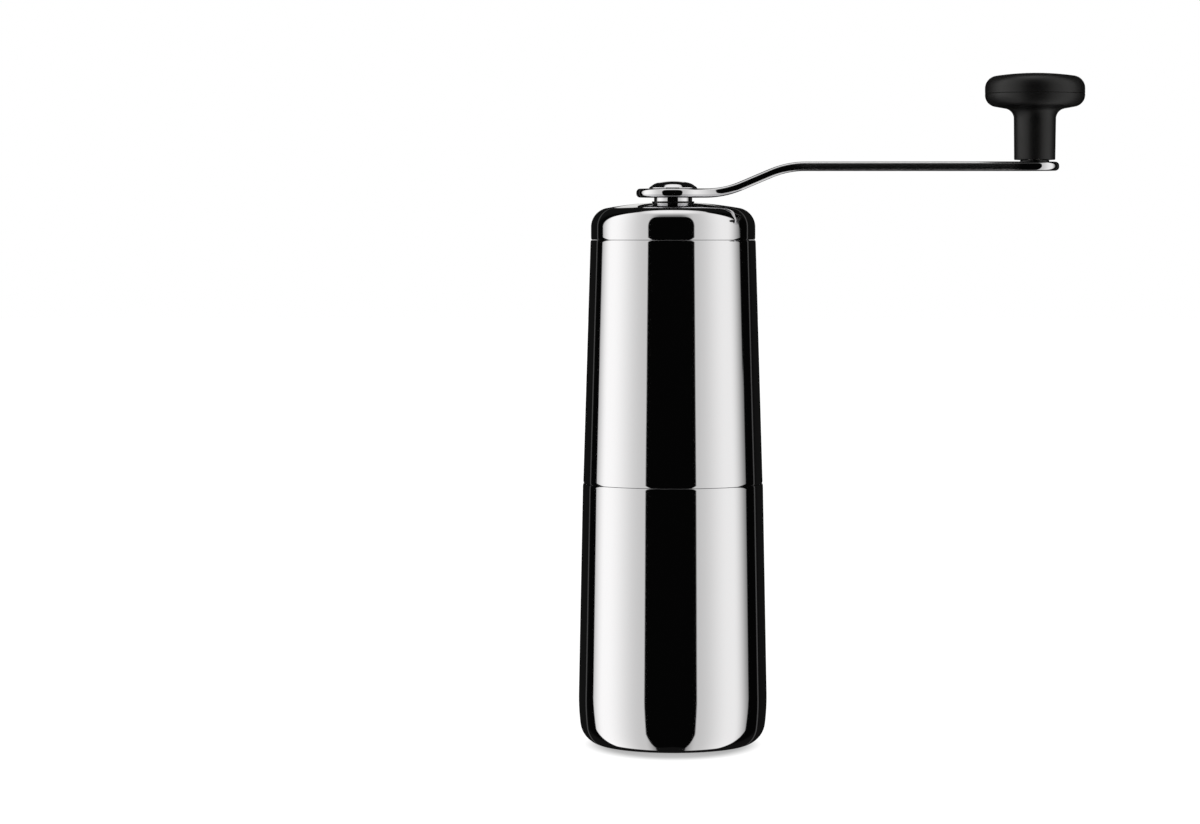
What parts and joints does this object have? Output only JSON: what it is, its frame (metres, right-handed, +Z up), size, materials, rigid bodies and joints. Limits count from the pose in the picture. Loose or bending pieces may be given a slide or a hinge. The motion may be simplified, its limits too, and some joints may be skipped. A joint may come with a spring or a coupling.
{
  "type": "hand crank coffee grinder",
  "caption": "Upright hand coffee grinder: steel cup, body and lid around a ceramic conical burr, driven by a cranked arm with a turning knob.",
  "frame": {"origin": "centre of the cup's flat base, on the surface it stands on", "axes": "+Z up along the grinding axis, +X from that axis towards the knob with the crank in its stored place, +Y away from the front"},
  "size_m": [0.1615, 0.0604, 0.2153],
  "materials": {
    "polished_steel": "mirror-polished stainless steel",
    "turned_steel": "turned and ground stainless steel",
    "stamped_steel": "stamped stainless sheet",
    "spring_steel": "drawn spring wire and blued snap rings",
    "black_moulding": "moulded polypropylene, fine texture",
    "liner_moulding": "moulded polypropylene",
    "knob_moulding": "moulded nylon, satin",
    "acetal_white": "acetal, natural",
    "acetal_black": "acetal, black",
    "silicone_seal": "silicone rubber",
    "burr_ceramic": "unglazed alumina ceramic",
    "sleeve_brass": "turned brass"
  },
  "bodies": {
    "cup": {"cup_shell": "polished_steel"},
    "body": {"body_shell": "polished_steel", "hopper_liner": "liner_moulding", "burr_housing": "black_moulding", "feed_funnel": "black_moulding", "ring_burr": "burr_ceramic", "burr_retainer": "stamped_steel", "retainer_screws": "stamped_steel", "body_seal": "silicone_seal", "bush_carrier": "black_moulding", "carrier_screws": "stamped_steel", "upper_bush": "acetal_white", "lower_bush": "acetal_white"},
    "lid": {"lid_shell": "polished_steel", "lid_insert": "black_moulding", "lid_seal": "silicone_seal", "hub_bush": "acetal_black"},
    "crank": {"crank_arm": "polished_steel", "crank_hub": "polished_steel", "cap_button": "polished_steel", "hub_clip": "spring_steel", "hub_washer": "acetal_white", "knob_screw": "turned_steel", "knob_washer": "acetal_black"},
    "knob": {"knob_grip": "knob_moulding", "knob_cap": "knob_moulding", "knob_sleeve": "sleeve_brass"},
    "shaft": {"drive_shaft": "turned_steel", "shaft_clip": "spring_steel", "spring_washer": "stamped_steel", "burr_spring": "spring_steel"},
    "burr": {"cone_burr": "burr_ceramic", "burr_driver": "black_moulding"},
    "adjuster": {"adjust_nut": "black_moulding", "nut_insert": "sleeve_brass"}
  },
  "joints": [
    {"name": "body_lift", "type": "slide", "parent": "cup", "child": "body", "axis": [0, 0, 1], "range_m": [0, 0.09]},
    {"name": "lid_lift", "type": "slide", "parent": "body", "child": "lid", "axis": [0, 0, 1], "range_m": [0, 0.06]},
    {"name": "crank_turn", "type": "hinge", "parent": "lid", "child": "crank", "pos_m": [0, 0, 0.175], "axis": [0, 0, 1], "continuous": true},
    {"name": "knob_spin", "type": "hinge", "parent": "crank", "child": "knob", "pos_m": [0.1154, 0, 0.195], "axis": [0, 0, 1], "continuous": true},
    {"name": "shaft_turn", "type": "hinge", "parent": "body", "child": "shaft", "pos_m": [0, 0, 0.11], "axis": [0, 0, 1], "continuous": true},
    {"name": "burr_shift", "type": "slide", "parent": "shaft", "child": "burr", "axis": [0, 0, 1], "range_m": [-0.0016, 0.0008], "deforming": ["burr_spring"]},
    {"name": "nut_turn", "type": "hinge", "parent": "burr", "child": "adjuster", "pos_m": [0, 0, 0.0735], "axis": [0, 0, 1], "range_deg": [-720, 360]}
  ],
  "couplings": [
    {"joint": "shaft_turn", "follows": "crank_turn", "ratio": 1},
    {"joint": "burr_shift", "follows": "nut_turn", "m_per_rad": 0.00012732}
  ]
}
